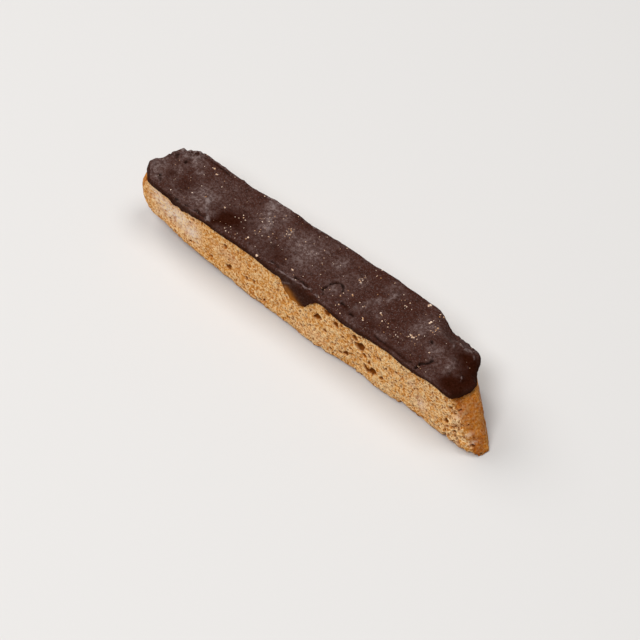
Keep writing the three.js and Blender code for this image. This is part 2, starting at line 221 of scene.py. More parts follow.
# The dark spots below are glossy chocolate with painted shade on slopes turned from the light, as at the
# right end
GLOSSY_AND_SHADED = (
    (-58.5, -5.5, 4, 4.4, 0.5), (-66, -5, 1.4, 2.4, 0.7), (-65.8, 2.4, 1.5, 1.4, 0.7),
    (-57, 8.2, 6, 0.5, 0.8), (-36.5, -5.5, 7.5, 4.4, 1), (-39, -8, 3, 3, 0.6),
    (-41.1, -10.8, 1.4, 1.2, 0.9), (-16.5, -7.2, 6.5, 3.6, 0.6), (-14, 9.8, 10, 1.4, 0.6),
    (15.7, -7.9, 1.3, 1, 0.8), (19.3, -8.8, 1.3, 1, 0.8), (26, -8, 5, 3, 0.4),
    (38.5, -10.8, 8.5, 0.9, 0.9), (58, 3.6, 7, 4.4, 1), (60, -7.5, 4, 2.6, 0.7),
    (64.5, -3, 4.5, 8, 1), (62, -10, 5, 2, 0.9),
)
# Translucent lower left edge of the drip, (along, up), where the chocolate ran thin over the crumb
DRIP_SMEAR = ((-6.4, 18.6), (-4.8, 17.4), (-3, 16.2), (-1.6, 15.4))
SMEAR_WIDTH = 1.9
NEAR_SIDE = (-10.6, -9.8)  # across the coat, where the near side turns into the top
THIN_EDGE = (0.1, 0.7)  # above its lower edge on the near side, where the coat thickens
OUTER_FACE = (0.45 * MM, 0.9 * MM)  # from the biscuit, where the coat's outer face takes over
LEAST_CLEARANCE = 0.5 * MM  # of the outer face from the biscuit
HEM_BAND = (20 * MM, 23.6 * MM)  # over this height the uneven lower edge fades out

# The crumbs -----------------------------------

# On the chocolate: centre, how far they spread, how many and their half size, in mm
CRUMB_CLUSTERS = (
    (-57, 6.5, 0.2, 1, 0.4), (-54.5, 5, 0.4, 3, 0.34), (-42.5, -3.5, 0.3, 2, 0.28),
    (-34.5, -3, 1.8, 5, 0.25), (-27.5, -8.5, 0.7, 6, 0.3), (-26.5, -4, 1.2, 4, 0.26),
    (-20.5, -11.5, 0.6, 5, 0.38), (-37, -10, 1.5, 3, 0.26), (-19, 3, 1.2, 12, 0.26),
    (-7.5, -8, 0.5, 3, 0.34), (-9, 9.5, 0.4, 2, 0.26), (-1, 11, 0.2, 1, 0.28),
    (14, 10.5, 2.2, 5, 0.3), (12.5, 3.5, 1.6, 14, 0.22), (14.5, -3, 0.5, 3, 0.34),
    (11.5, -5.5, 0.3, 2, 0.34), (6, -7, 1.2, 3, 0.32), (15, -10.5, 2.5, 2, 0.28),
    (26, -2.5, 0.4, 3, 0.3), (23.5, -8, 0.5, 6, 0.34), (30, -3, 1.6, 4, 0.26),
    (29.5, 5.5, 0.6, 4, 0.24), (35, 11, 0.6, 6, 0.4), (41, 11, 1, 4, 0.32),
    (39.5, 5.5, 0.6, 4, 0.38), (43.5, 4.5, 1.4, 6, 0.28), (48, -3, 1, 2, 0.32),
    (40.5, -2.5, 0.8, 4, 0.38), (40.5, -2.5, 1.6, 7, 0.26), (35.5, -5, 2.4, 12, 0.2),
    (-29, 2, 2.4, 10, 0.18), (-33, -10, 2.6, 8, 0.2),
)

# The stage ------------------------------------

# Softboxes aimed at the part: place and width in metres, and how brightly each lights a white floor
SOFTBOXES = (
    ("left_softbox", (-1.05, -0.05, 1.1), 1.2, 0.4),
    ("top_softbox", (0.3, 0.28, 1.55), 0.8, 0.35),
    ("front_softbox", (0.2, -0.8, 1.42), 0.7, 0.5),
)
CAMERA_TARGET = (-0.56, -2.55, 0.0)  # the point the camera looks at, in mm
SURROUND_TINT = (1.0, 0.985, 0.975, 1.0)
FLOOR_SIZE = 6.0


# ----------------------------------------------
# Settings


def linear(hex_colour):
    """Turns an sRGB hex colour to Blender's linear RGBA."""
    parts = [int(hex_colour[i : i + 2], 16) / 255 for i in (0, 2, 4)]
    return [p / 12.92 if p <= 0.04045 else ((p + 0.055) / 1.055) ** 2.4 for p in parts] + [1.0]


FINE_LENGTH = {"unit": "LENGTH", "precision": 5}
COLOUR = {"size": 4, "subtype": "COLOR", "min": 0.0, "max": 1.0}


class BiscuitSettings(bpy.types.PropertyGroup):
    grain: FloatProperty(
        name="Mesh grain", description="Edge length of the mesh", default=0.53 * MM, **FINE_LENGTH,
    )
    relief: FloatProperty(
        name="Crumb relief", description="Roughness of the sawn crumb", default=0.6 * MM, **FINE_LENGTH,
    )
    pores: IntProperty(name="Pores", description="Pores cut into each sawn face", default=460, min=0)
    pore_seed: IntProperty(name="Pore seed", description="Seed of the pores' places", default=7)
    crumb_colour: FloatVectorProperty(
        name="Crumb", description="The sawn crumb", default=linear("EEAC5C"), **COLOUR,
    )
    flour_colour: FloatVectorProperty(
        name="Floury crumb", description="The pale floury patches", default=linear("FAE6D6"), **COLOUR,
    )
    toasted_colour: FloatVectorProperty(
        name="Toasted crumb", description="The deeper toasted grains", default=linear("CC7C26"), **COLOUR,
    )
    pale_grain_colour: FloatVectorProperty(
        name="Pale grains", description="The crumb's palest grains", default=linear("FFDCA6"), **COLOUR,
    )
    crust_colour: FloatVectorProperty(
        name="Crust", description="The browned crust", default=linear("9A4C0C"), **COLOUR,
    )
    crust_pale_colour: FloatVectorProperty(
        name="Pale crust", description="The least browned crust", default=linear("C07C30"), **COLOUR,
    )
    # Painted shade inside the pores
    pore_shade_colour: FloatVectorProperty(
        name="Pore", description="The inside of a pore", default=linear("AC5A0C"), **COLOUR,
    )


class ChocolateSettings(bpy.types.PropertyGroup):
    grain: FloatProperty(
        name="Mesh grain", description="Edge length of the mesh", default=0.36 * MM, **FINE_LENGTH,
    )
    wave: FloatProperty(
        name="Waves", description="Height of the coat's slow waves", default=0.3 * MM, **FINE_LENGTH,
    )
    colour: FloatVectorProperty(
        name="Chocolate", description="The dark chocolate", default=linear("3A1D14"), **COLOUR,
    )
    # Colour of the bloomed chocolate and of its painted sheen and highlights
    bloom_and_sheen_colour: FloatVectorProperty(
        name="Bloom", description="The dusty fat bloom", default=linear("604C47"), **COLOUR,
    )
    thin_colour: FloatVectorProperty(
        name="Thin chocolate", description="Chocolate so thin that the crumb shows through",
        default=linear("B46E28"), **COLOUR,
    )


class CrumbSettings(bpy.types.PropertyGroup):
    count: IntProperty(name="Crumbs", description="Loose specks, besides the clusters", default=200, min=0)
    seed: IntProperty(name="Seed", description="Seed of the specks' places", default=23)
    pale_colour: FloatVectorProperty(
        name="Pale crumbs", description="The floury specks", default=linear("E8CEB8"), **COLOUR,
    )
    tan_colour: FloatVectorProperty(
        name="Tan crumbs", description="The toasted specks", default=linear("A87440"), **COLOUR,
    )


class StageSettings(bpy.types.PropertyGroup):
    azimuth: FloatProperty(
        name="Camera azimuth", description="Turn of the camera round the part",
        default=math.radians(43.1), subtype="ANGLE",
    )
    elevation: FloatProperty(
        name="Camera elevation", description="Height of the camera above the horizon",
        default=math.radians(50.0), subtype="ANGLE",
    )
    distance: FloatProperty(
        name="Camera distance", description="From the camera to the point it looks at",
        default=1.1295, unit="LENGTH",
    )
    lens: FloatProperty(
        name="Lens", description="Focal length, in millimetres on a 36 mm sensor",
        default=193.1, subtype="DISTANCE_CAMERA",
    )
    floor_colour: FloatVectorProperty(
        name="Floor", description="The pale floor", default=linear("D0CECC"), **COLOUR,
    )
    soft_light: FloatProperty(name="Soft light", description="Strength of the even surround", default=0.16)


# ----------------------------------------------
# Helpers


def add_node(tree, kind, links=None, values=None, **properties):
    """Adds a shader node with its properties, its sockets' values and the links into it."""
    node = tree.nodes.new("ShaderNode" + kind)
    for name, value in properties.items():
        setattr(node, name, value)
    for socket, value in (values or {}).items():
        node.inputs[socket].default_value = value
    for socket, source in (links or {}).items():
        tree.links.new(source, node.inputs[socket])
    return node


def new_material(name):
    """An empty node material and its tree."""
    material = bpy.data.materials.new(name)
    material.use_nodes = True
    material.node_tree.nodes.clear()
    return material, material.node_tree


def per_metre(size_mm):
    """Texture scale whose features are this many millimetres across."""
    return 1 / (size_mm * MM)


def deselect_all():
    for o in bpy.context.selected_objects:
        o.select_set(False)


def make_active(piece):
    deselect_all()
    piece.select_set(True)
    bpy.context.view_layer.objects.active = piece


def copy_of_node(node_name, piece_name):
    """A merged copy of a CAD node's mesh, as a new object at the origin."""
    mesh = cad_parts[node_name].data.copy()
    mesh.name = piece_name
    mesh.materials.clear()
    piece = bpy.data.objects.new(piece_name, mesh)
    bpy.context.scene.collection.objects.link(piece)
    make_active(piece)
    bpy.ops.object.mode_set(mode="EDIT")
    bpy.ops.mesh.select_all(action="SELECT")
    bpy.ops.mesh.remove_doubles(threshold=1e-6)
    bpy.ops.object.mode_set(mode="OBJECT")
    return piece


def apply_modifier(piece, kind, **settings):
    make_active(piece)
    modifier = piece.modifiers.new(kind.title(), kind)
    for name, value in settings.items():
        setattr(modifier, name, value)
    bpy.ops.object.modifier_apply(modifier=modifier.name)


def surface_of(piece):
    """The piece's surface, for finding nearest points and casting rays."""
    return BVHTree.FromObject(piece, bpy.context.evaluated_depsgraph_get())


def joined_copies(template, places, name):
    """One object that holds a copy of the template's mesh at each place. The template is removed."""
    joined = bmesh.new()
    for place in places:
        copy = template.data.copy()
        copy.transform(place)
        joined.from_mesh(copy)
        bpy.data.meshes.remove(copy)
    bpy.data.objects.remove(template)
    mesh = bpy.data.meshes.new(name)
    joined.to_mesh(mesh)
    joined.free()
    piece = bpy.data.objects.new(name, mesh)
    bpy.context.scene.collection.objects.link(piece)
    return piece


def store(piece, names, rows):
    """Keeps a row of numbers for each vertex, which the material reads by name."""
    for name, values in zip(names, zip(*rows)):
        attribute = piece.data.attributes.new(name, "FLOAT", "POINT")
        attribute.data.foreach_set("value", values)


def dress(piece, material, node_names=()):
    """Gives a finished piece its one material and its place in the model."""
    make_active(piece)
    bpy.ops.object.shade_smooth()
    piece.data.materials.clear()
    piece.data.materials.append(material)
    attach(piece, "root")
    if node_names:
        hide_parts(*node_names)


def step(low, high, value):
    """Rises smoothly from 0 at low to 1 at high."""
    t = min(max((value - low) / (high - low), 0.0), 1.0)
    return t * t * (3 - 2 * t)


def bell(distance, spread):
    """Falls smoothly from 1 at no distance."""
    return math.exp(-((distance / spread) ** 2))


def blot(x, y, spot):
    """Strength at a place of a soft oval spot, given as centre, half sizes and strength."""
    centre_x, centre_y, half_x, half_y, strength = spot
    return strength * bell(math.hypot((x - centre_x) / half_x, (y - centre_y) / half_y), 1.0)


def keep_in_box(point):
    """Holds a point just inside the solid model's box."""
    for axis in range(3):
        low = CAD_BOX[0][axis] + (ROOM if axis < 2 else 0)
        point[axis] = min(max(point[axis], low), CAD_BOX[1][axis] - ROOM)
    return point


# ----------------------------------------------
# The biscuit


def underside_height(point):
    """Rough height of the underside, which leaves the floor towards the left end."""
    t = min(max((LIFT_START - point.x) / LIFT_RUN, 0.0), 1.1)
    return LIFT_HEIGHT * t**1.5


def crust_share(point, normal):
    """How far a place is crust: the log's side walls and underside, and the foot of the cut faces."""
    walls = step(0.3, 0.52, abs(normal.x))
    below = step(0.35, 0.7, -normal.z)
    ragged = 0.5 * MM * noise.noise(point / (2.6 * MM))
    foot = 1 - step(0.5 * MM, 1.5 * MM, point.z - underside_height(point) + ragged)
    return max(walls, below, 0.6 * foot)


def crumb_relief(point, crust):
    """How far a place moves outward, as a share of the relief. The saw leaves grains and torn cells."""
    slow = noise.noise(point / (4.2 * MM))
    grain = noise.noise(point / (1.7 * MM) + Vector((9, 4, 1)))
    fine = noise.noise(point / (0.9 * MM) + Vector((2, 8, 5)))
    cell = noise.voronoi(point / (1.5 * MM))[0][0]
    torn = 1 - step(0.12, 0.42, cell)
    tip = step(*CRAGGY_TIP, point.x) * step(*CRAG_FOOT, point.z)
    crag = noise.noise(point / (2.9 * MM) + Vector((5, 5, 5))) + 0.6 * noise.noise(point / (1.3 * MM))
    crack = 1 - step(0.0, 0.09, abs(noise.noise(point / (3.4 * MM) + Vector((1, 6, 2)))))
    sawn = 1 - crust
    grainy = 0.3 * slow + 0.4 * grain * (0.5 + 0.5 * sawn) + 0.35 * fine * (0.3 + 0.7 * sawn)
    return grainy - 0.5 * torn * sawn + tip * (0.3 + 0.7 * sawn) * (1.9 * crag - 0.9 * crack)


def broken_foot(point):
    """How far the foot of a cut face is broken away: a little all along it, and deeper in the notches."""
    resting = 1 - step(0.2 * MM, 2.0 * MM, underside_height(point))
    ragged = 0.9 + 1.8 * noise.noise(point / (1.9 * MM) + Vector((1, 6, 2)))
    depth = 1.1 * MM * ragged * (1 - step(*FOOT_BAND, point.z))
    for along, reach, height in FOOT_NOTCHES:
        open_share = bell(point.x / MM - along, reach)
        depth += 1.5 * MM * open_share * (1 - step(0.5 * height * MM, height * MM, point.z))
    return resting * depth


def chip_foot(point, skin):
    """Draws the foot of a cut face in under the slice, and what lies close inside the face with it."""
    if point.z > CHIP_REACH:
        return point
    side = math.copysign(1.0, point.y)
    start = Vector((point.x, side * LENGTH, CHIP_REACH + 0.4 * MM))
    face = skin.ray_cast(start, Vector((0, -side, 0)))[0]
    if face is None:
        return point
    inside = (face.y - point.y) * side
    if inside < CHIP_REACH:
        point.y -= side * broken_foot(point) * (1 - max(inside, 0.0) / CHIP_REACH)
    return point


def roughen(piece, skin, relief):
    """Gives the smooth slice its grainy sawn faces, crags at the tip and a faintly wrinkled crust."""
    moves = []
    for v in piece.data.vertices:
        _, normal, _, _ = skin.find_nearest(v.co)
        crust = crust_share(v.co, normal)
        out = relief * (crumb_relief(v.co, crust) - INWARD)
        sideways = normal.copy()
        sideways.z *= step(*FOOT_BAND, v.co.z)
        moves.append(keep_in_box(chip_foot(v.co + sideways * out, skin)))
    for v, place in zip(piece.data.vertices, moves):
        v.co = place
    piece.data.update()


def pores_of_face(settings, side):
    """Places and sizes of the pores of one sawn face, denser towards the foot and the right end."""
    rng = random.Random(settings.pore_seed + side)
    made = list(PORES) if side < 0 else []
    for _ in range(settings.pores * 30):
        x = rng.uniform(-0.48, 0.49) * LENGTH / MM
        z = rng.uniform(0.8, 22.0)
        density = 0.06 + 0.94 * step(-52, -5, x)
        density *= 1.0 - 0.4 * step(9, 20, z)
        density *= 0.4 + 1.2 * max(noise.noise(Vector((x, side * 9, z)) / 6.0) + 0.35, 0.0)
        size = 0.22 + 0.3 * rng.random() ** 3
        long = size * rng.uniform(1.0, 1.9)
        lean = rng.gauss(*RANDOM_LEAN)
        near = any(math.hypot(x - m[0], z - m[1]) < long + m[2] + 0.15 for m in made)
        if rng.random() > density or near:
            continue
        made.append((x, z, long, size, lean))
        if len(made) == settings.pores:
            break
    return made


def pore_cutters(skin, settings):
    """Irregular hollow shapes laid into both sawn faces, ready to be cut out."""
    places = []
    for side in (-1, 1):
        for x, z, long, wide, lean in pores_of_face(settings, side):
            start = Vector((x * MM, side * 0.3 * LENGTH, z * MM))
            hit, normal, _, _ = skin.ray_cast(start, Vector((0, -side, 0)))
            if hit is None or abs(normal.y) < 0.35:
                continue
            turn = Matrix.Rotation(math.radians(-lean), 4, "Y")
            size = Matrix.Diagonal((long * 1.15 * MM, (0.6 + 1.3 * wide) * MM, wide * 1.25 * MM, 1))
            places.append(Matrix.Translation(hit) @ turn @ size)
    deselect_all()
    bpy.ops.mesh.primitive_ico_sphere_add(subdivisions=2, radius=1.0)
    cutters = joined_copies(bpy.context.object, places, "pore_cutters")
    for v in cutters.data.vertices:
        fine = noise.noise_vector(v.co / (1.1 * MM)) * 0.16 * MM
        v.co += fine + noise.noise_vector(v.co / (3 * MM)) * 0.3 * MM
    return cutters


def cut_pores(piece, skin, settings):
    """Cuts the pores out of both sawn faces with one Boolean."""
    cutters = pore_cutters(skin, settings)
    apply_modifier(piece, "BOOLEAN", object=cutters, operation="DIFFERENCE", solver="MANIFOLD")
    bpy.data.objects.remove(cutters)


def smooth_skin():
    """The slice's surface with its pores filled and its grain gone, which depths are measured from."""
    skin = copy_of_node("biscuit", "smooth_skin")
    apply_modifier(skin, "REMESH", mode="VOXEL", voxel_size=1.3 * MM, adaptivity=0.0)
    apply_modifier(skin, "SMOOTH", factor=0.5, iterations=8)
    surface = surface_of(skin)
    bpy.data.objects.remove(skin)
    return surface


BISCUIT_MARKS = ("crust", "floury", "toast_and_shade", "depth", "porous")


def mark_biscuit(piece, skin):
    """Stores how far each place is crust, floury, toasted (with a streak of painted shade under the coat),
    deep in a pore and open in its crumb.
    """
    rows = []
    for v in piece.data.vertices:
        near, normal, _, _ = skin.find_nearest(v.co)
        crust = crust_share(v.co, normal)
        flour, toast_and_shade = FAR_FLOUR, 0.0
        if v.co.y < 0:
            flour = sum(blot(v.co.x / MM, v.co.z / MM, spot) for spot in FLOURY)
            toast_and_shade = sum(blot(v.co.x / MM, v.co.z / MM, spot) for spot in TOASTED_AND_SHADED)
        depth = step(*PORE_DEPTH, (near - v.co).dot(normal))
        porous = 0.1 + 0.4 * step(-52 * MM, -20 * MM, v.co.x) + 0.5 * step(-5 * MM, 25 * MM, v.co.x)
        rows.append((crust, min(flour, 1.0), min(toast_and_shade, 1.0), depth, porous * (1 - 0.6 * crust)))
    store(piece, BISCUIT_MARKS, rows)


DARK_GRAIN = linear("A6560C")
# Painted shade in the fine pits
PIT_SHADE = linear("964C08")
# Painted shade deep inside the pores
DEEPEST_PORE_SHADE = linear("542606")


def biscuit_material(settings):
    """Twice-baked wheat dough, sawn and toasted: dry, matt and grainy, with brown crust, pores and pits
    darkened by painted shade and painted highlights round the pits.
    """
    material, tree = new_material("baked_dough_sawn_and_toasted")
    here = add_node(tree, "TexCoord").outputs["Object"]
    crust, floury, toast_and_shade, depth, porous = (
        add_node(tree, "Attribute", attribute_name=name).outputs["Fac"] for name in BISCUIT_MARKS
    )
    # The saw drags flour and crumb along the slice; the crust's blotches are drawn down the wall.
    along = add_node(tree, "Mapping", {"Vector": here}, {"Scale": (0.2, 1, 1)}).outputs["Vector"]
    down = add_node(tree, "Mapping", {"Vector": here}, {"Scale": (1, 1, 0.45)}).outputs["Vector"]
    # In order: toasting drifts over 9 mm, grains of crumb are 1.2 mm and the finest 0.75 mm, the saw's
    # streaks are 1.6 mm high, the crust's blotches 4 mm wide, and a pit's rim wobbles every 0.8 mm.
    textures = [
        add_node(
            tree, "TexNoise", {"Vector": where},
            {"Scale": per_metre(size_mm), "Detail": detail, "Roughness": roughness},
        ).outputs
        for where, size_mm, detail, roughness in (
            (here, 9, 3, 0.55), (here, 1.2, 4, 0.7), (here, 0.75, 3, 0.6),
            (along, 1.6, 4, 0.65), (down, 4, 4, 0.6), (here, 0.8, 2, 0.6),
        )
    ]
    drift, grain, fine, streaks, blotches, _ = (texture["Fac"] for texture in textures)
    wobble = textures[-1]["Color"]

    # Some cells of each size show as ragged pits of painted shade with a painted highlight on their rim,
    # more of them where the crumb is open.
    centred = add_node(
        tree, "VectorMath", {0: wobble}, {1: (0.5, 0.5, 0.5)}, operation="SUBTRACT",
    ).outputs["Vector"]
    ragged = add_node(
        tree, "VectorMath", {0: centred, 2: here}, {1: (1.6 * MM,) * 3}, operation="MULTIPLY_ADD",
    ).outputs["Vector"]
    rings = []
    for size_mm, share, radius in FINE_PITS:
        cells = add_node(tree, "TexVoronoi", {"Vector": ragged}, {"Scale": per_metre(size_mm)})
        limit = add_node(tree, "Math", {0: porous}, {1: share}, operation="MULTIPLY").outputs[0]
        torn = add_node(
            tree, "Math", {0: cells.outputs["Color"], 1: limit}, operation="LESS_THAN",
        ).outputs[0]
        for outer, inner in (PIT_FADE, LIP_HIGHLIGHT_FADE):
            ring = add_node(
                tree, "MapRange", {"Value": cells.outputs["Distance"]},
                {"From Min": outer * radius, "From Max": inner * radius}, interpolation_type="SMOOTHSTEP",
            ).outputs["Result"]
            rings.append(add_node(tree, "Math", {0: ring, 1: torn}, operation="MULTIPLY").outputs[0])
    pits, lips = (
        add_node(tree, "Math", {0: large, 1: small}, operation="MAXIMUM").outputs[0]
        for large, small in ((rings[0], rings[2]), (rings[1], rings[3]))
    )

    shares = {"lip": lips}
    for name, source, low, high in (
        ("toasted patch", drift, 0.52, 0.38),
        ("pale grain", grain, 0.51, 0.6),
        ("dark grain", grain, 0.49, 0.38),
        ("pale speck", fine, 0.52, 0.6),
        ("dark speck", fine, 0.46, 0.37),
        ("streak", streaks, 0.32, 0.52),
        ("deep", depth, 0.5, 1.0),
    ):
        shares[name] = add_node(
            tree, "MapRange", {"Value": source}, {"From Min": low, "From Max": high},
            interpolation_type="SMOOTHSTEP",
        ).outputs["Result"]
    floury = add_node(tree, "Math", {0: floury, 1: shares["streak"]}, operation="MULTIPLY").outputs[0]
    # Browned crust has fewer pale grains than the sawn crumb, and flour fills the dark specks under it.
    sawn, bare = (
        add_node(tree, "MapRange", {"Value": cover}, {"To Min": 1.0, "To Max": least}).outputs["Result"]
        for cover, least in ((crust, 0.15), (floury, 0.25))
    )
    for name, factor in (("pale grain", sawn), ("pale speck", sawn), ("lip", sawn), ("dark speck", bare)):
        shares[name] = add_node(tree, "Math", {0: shares[name], 1: factor}, operation="MULTIPLY").outputs[0]
    browning = add_node(
        tree, "MapRange", {"Value": blotches}, {"From Min": 0.38, "From Max": 0.62},
    ).outputs["Result"]
    browned = add_node(
        tree, "Mix", {0: browning}, {6: settings.crust_colour, 7: settings.crust_pale_colour},
        data_type="RGBA",
    ).outputs[2]

    # Each layer covers what is under it by a share of its strength.
    skin = add_node(tree, "RGB").outputs[0]
    skin.default_value = settings.crumb_colour
    for share, strength, colour in (
        (shares["toasted patch"], 0.4, settings.toasted_colour),
        # Toasting, with the streak of painted shade under the coat's edge
        (toast_and_shade, 0.75, settings.toasted_colour),
        (crust, 0.9, browned),
        (floury, 0.95, settings.flour_colour),
        (shares["pale grain"], 0.65, settings.pale_grain_colour),
        (shares["dark grain"], 0.6, settings.toasted_colour),
        (shares["pale speck"], 0.85, settings.pale_grain_colour),
        (shares["dark speck"], 0.8, DARK_GRAIN),
        # Painted highlight on the pits' rims
        (shares["lip"], 0.8, settings.pale_grain_colour),
        # Painted shade in the fine pits
        (pits, 0.9, PIT_SHADE),
        # Painted shade inside the pores, darker with depth
        (depth, 0.95, settings.pore_shade_colour),
        # Painted shade at the bottom of the deepest pores
        (shares["deep"], 0.65, DEEPEST_PORE_SHADE),
    ):
        weight = add_node(tree, "Math", {0: share}, {1: strength}, operation="MULTIPLY").outputs[0]
        links, values = {0: weight, 6: skin}, {}
        if colour is browned:
            links[7] = browned
        else:
            values[7] = colour
        skin = add_node(tree, "Mix", links, values, data_type="RGBA").outputs[2]

    rough = add_node(tree, "Math", {0: grain, 1: fine}, operation="ADD").outputs[0]
    sunk = add_node(tree, "Math", {0: pits}, {1: 0.12}, operation="MULTIPLY").outputs[0]
    height = add_node(tree, "Math", {0: rough, 1: sunk}, operation="SUBTRACT").outputs[0]
    bump = add_node(tree, "Bump", {"Height": height}, {"Strength": 1.0, "Distance": 0.55 * MM})
    shader = add_node(
        tree, "BsdfPrincipled", {"Base Color": skin, "Normal": bump.outputs["Normal"]},
        {"Roughness": 0.88, "IOR": 1.45, "Specular IOR Level": 0.05},
    )
    add_node(tree, "OutputMaterial", {"Surface": shader.outputs["BSDF"]})
    return material


class BISCOTTO_OT_biscuit(bpy.types.Operator):
    """Makes the porous biscuit with its browned crust"""

    bl_idname = "biscotto.biscuit"
    bl_label = "Biscuit"

    def execute(self, context):
        settings = context.scene.biscotto_biscuit
        skin = smooth_skin()
        piece = copy_of_node("biscuit", "sliced_biscuit")
        apply_modifier(piece, "REMESH", mode="VOXEL", voxel_size=settings.grain, adaptivity=0.0)
        apply_modifier(piece, "SMOOTH", factor=0.5, iterations=2)
        roughen(piece, skin, settings.relief)
        cut_pores(piece, skin, settings)
        mark_biscuit(piece, skin)
        dress(piece, biscuit_material(settings), ["biscuit"])
        return {"FINISHED"}


# ----------------------------------------------
# The chocolate coat


def gap_to_path(x, y, path):
    """Distance in millimetres from a place to the line drawn through the path's points."""
    nearest = math.inf
    for (ax, ay), (bx, by) in zip(path, path[1:]):
        run, rise = bx - ax, by - ay
        t = ((x - ax) * run + (y - ay) * rise) / (run * run + rise * rise)
        t = min(max(t, 0.0), 1.0)
        nearest = min(nearest, math.hypot(x - ax - t * run, y - ay - t * rise))
    return nearest


def folds(x, y):
    """Height in millimetres that the ridges, creases and craggy rim add at a place on the top."""
    bend = noise.noise_vector(Vector((x, y, 3.0)) / 2.5)
    bend += 0.4 * noise.noise_vector(Vector((x, y, 5.0)))
    x, y = x + 0.6 * bend.x, y + 0.6 * bend.y
    broken = min(max(0.75 + 1.5 * noise.noise(Vector((x, y, 21.0)) / 1.7), 0.15), 1.3)
    height = 0.0
    for path, width, out in RIDGES:
        height += broken * out * bell(gap_to_path(x, y, path), width)
    for path, width, depth in CREASES:
        height -= 1.3 * broken * depth * bell(gap_to_path(x, y, path), 0.85 * width)
    rim = bell(gap_to_path(x, y, CRAGGY_RIM), RIM_WIDTH)
    if rim > 0.02:
        crags = noise.noise(Vector((x, y, 0)) / 1.6) + 0.6 * noise.noise(Vector((x, y, 8)) / 0.9)
        height += 0.9 * rim * crags
    return height


def shape_coat(piece, wave):
    """Gives the coat the folds of its top, fine ripples all over its outside and an uneven lower edge."""
    slice_surface = BVHTree.FromPolygons(
        [v.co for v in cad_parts["biscuit"].data.vertices],
        [p.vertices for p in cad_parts["biscuit"].data.polygons],
    )
    moves = []
    for v in piece.data.vertices:
        p, n = v.co, v.normal
        clearance = slice_surface.find_nearest(p)[3]
        outer = step(*OUTER_FACE, clearance)
        top = max(step(0.1, 0.6, n.z), step(21.5 * MM, 24.3 * MM, p.z))
        rise = 0.0
        if top * outer > 0:
            x, y = p.x / MM, p.y / MM
            rise = (sum(blot(x, y, mound) for mound in MOUNDS) + folds(x, y)) * MM * top * outer
        ripple = 0.9 * noise.noise(p / (12 * MM)) + 0.7 * noise.noise(p / (4.5 * MM) + Vector((3, 1, 7)))
        ripple += 0.3 * noise.noise(p / (1.6 * MM) + Vector((8, 2, 4)))
        ripple *= wave * outer * (0.45 + 0.55 * step(-0.2, 0.5, n.z))
        out = max(rise * max(n.z, 0.3) + ripple, LEAST_CLEARANCE - clearance) if outer > 0 else 0.0
        side = Vector((0, 0, 1)) if n.z < 0.3 and rise else n
        below = Vector((p.x, p.y, 0))
        hem = 0.9 * noise.noise(below / (2.3 * MM)) + 0.5 * noise.noise(below / MM)
        fall = Vector((0, 0, hem * MM * (1 - step(*HEM_BAND, p.z))))
        moves.append(keep_in_box(p + n * ripple + side * (out - ripple) + fall))
    for v, place in zip(piece.data.vertices, moves):
        v.co = place
    piece.data.update()


def lower_edge(piece):
    """Height of the coat's lower edge on the near face, for each millimetre along it."""
    edge = {}
    for v in piece.data.vertices:
        if v.co.y < COAT[0].y + 2.5 * MM:
            slot = round(v.co.x / MM)
            edge[slot] = min(edge.get(slot, v.co.z), v.co.z)
    return edge


COAT_MARKS = ("bloom_and_sheen", "gloss_and_shade", "wall", "thin", "fold")


def mark_coat(piece):
    """Stores how far each place is bloomed with painted sheen, glossy with painted shade, a steep wall and
    thin, and its height in a fold, with the drip's painted highlight streaks added to it.
    """
    edge = lower_edge(piece)
    rows = []
    for v in piece.data.vertices:
        x, y, z = v.co / MM
        up = step(0.45, 0.85, v.normal.z)
        # Bloomed chocolate with painted sheen and highlights, on the top only
        bloom_and_sheen = min(sum(blot(x, y, spot) for spot in BLOOM_AND_SHEEN_SPOTS), 1.0) * up
        gloss_and_shade = min(sum(blot(x, y, spot) for spot in GLOSSY_AND_SHADED), 1.0)
        near = 1 - step(*NEAR_SIDE, y)
        line = 0.7 * (1 - step(*THIN_EDGE, z - edge.get(round(x), v.co.z) / MM))
        smear = 0.9 + 0.8 * noise.noise(v.co / (2.2 * MM))
        smear *= bell(gap_to_path(x, z, DRIP_SMEAR), SMEAR_WIDTH)
        thin = near * min(max(line + smear, 0.0), 1.0)
        # Painted highlight streaks on the drip's wrinkles, stored in the fold height
        drip_highlight = sum(0.35 * bell(gap_to_path(x, z, path), width) for path, width in DRIP_HIGHLIGHT_STREAKS)
        rows.append((bloom_and_sheen, gloss_and_shade, 1 - up, thin, folds(x, y) * up + near * (1 - up) * drip_highlight))
    store(piece, COAT_MARKS, rows)


# Dark of glossy chocolate and of painted shade on slopes turned from the light
DEEP_GLOSS_AND_SHADE = linear("260C04")
DARK_MOTTLE = linear("1C0700")
# Pale mottle, laid as painted sheen streaks among the bloomed patches
PALE_MOTTLE_AND_SHEEN = linear("8A7A76")
RED_FLECK = linear("5C3A2E")
GREY_FLECK = linear("665654")
# Painted shade on the steep sides
STEEP_WALL_SHADE = linear("2E180E")
# Painted highlight on the crests of folds, partly bloom worn onto them
WORN_CREST_HIGHLIGHT = linear("7A6B68")
# Painted shade in the creases
CREASE_SHADE = linear("140702")


